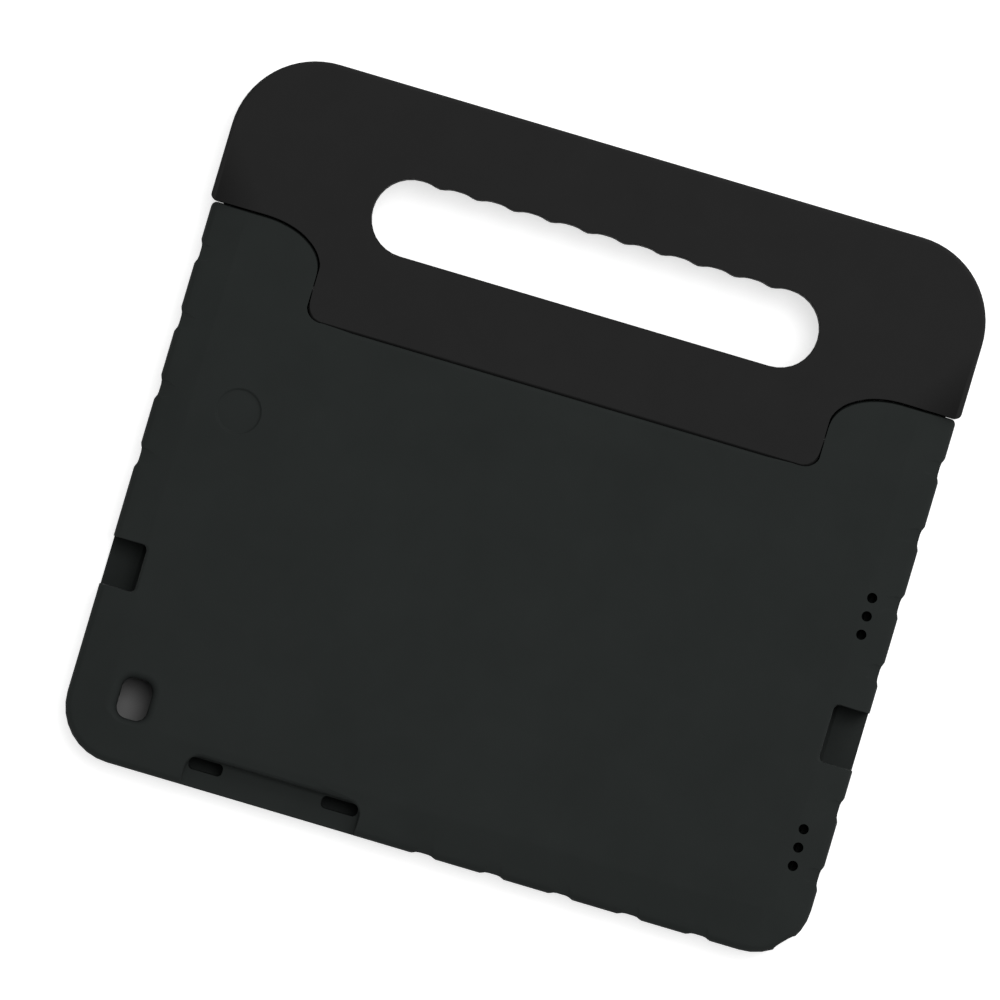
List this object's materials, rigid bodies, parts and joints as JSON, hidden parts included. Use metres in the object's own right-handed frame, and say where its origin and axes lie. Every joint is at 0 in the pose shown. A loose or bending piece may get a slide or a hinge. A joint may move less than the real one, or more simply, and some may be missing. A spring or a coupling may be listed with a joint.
{
  "type": "kids tablet case with handle",
  "caption": "Thick soft foam case for a 10.1 inch tablet, with a slotted carrying handle that folds back as a stand.",
  "frame": {"origin": "under the middle of the case's outline, on the plane of the front rim it lies on", "axes": "+X along the long side, +Y towards the handle, +Z out of the back"},
  "size_m": [0.27, 0.2538, 0.025],
  "materials": {
    "body_foam": "matt closed-cell foam with a fine grain",
    "handle_foam": "matt closed-cell foam, smoother than the body",
    "pin_plastic": "moulded plastic, satin"
  },
  "bodies": {
    "body": {"body_shell": "body_foam", "hinge_pin_left": "pin_plastic", "hinge_pin_right": "pin_plastic"},
    "handle": {"handle_stand": "handle_foam"}
  },
  "joints": [
    {"name": "handle_fold", "type": "hinge", "parent": "body", "child": "handle", "pos_m": [0, 0.05, 0.02], "axis": [1, 0, 0], "range_deg": [0, 90]}
  ]
}
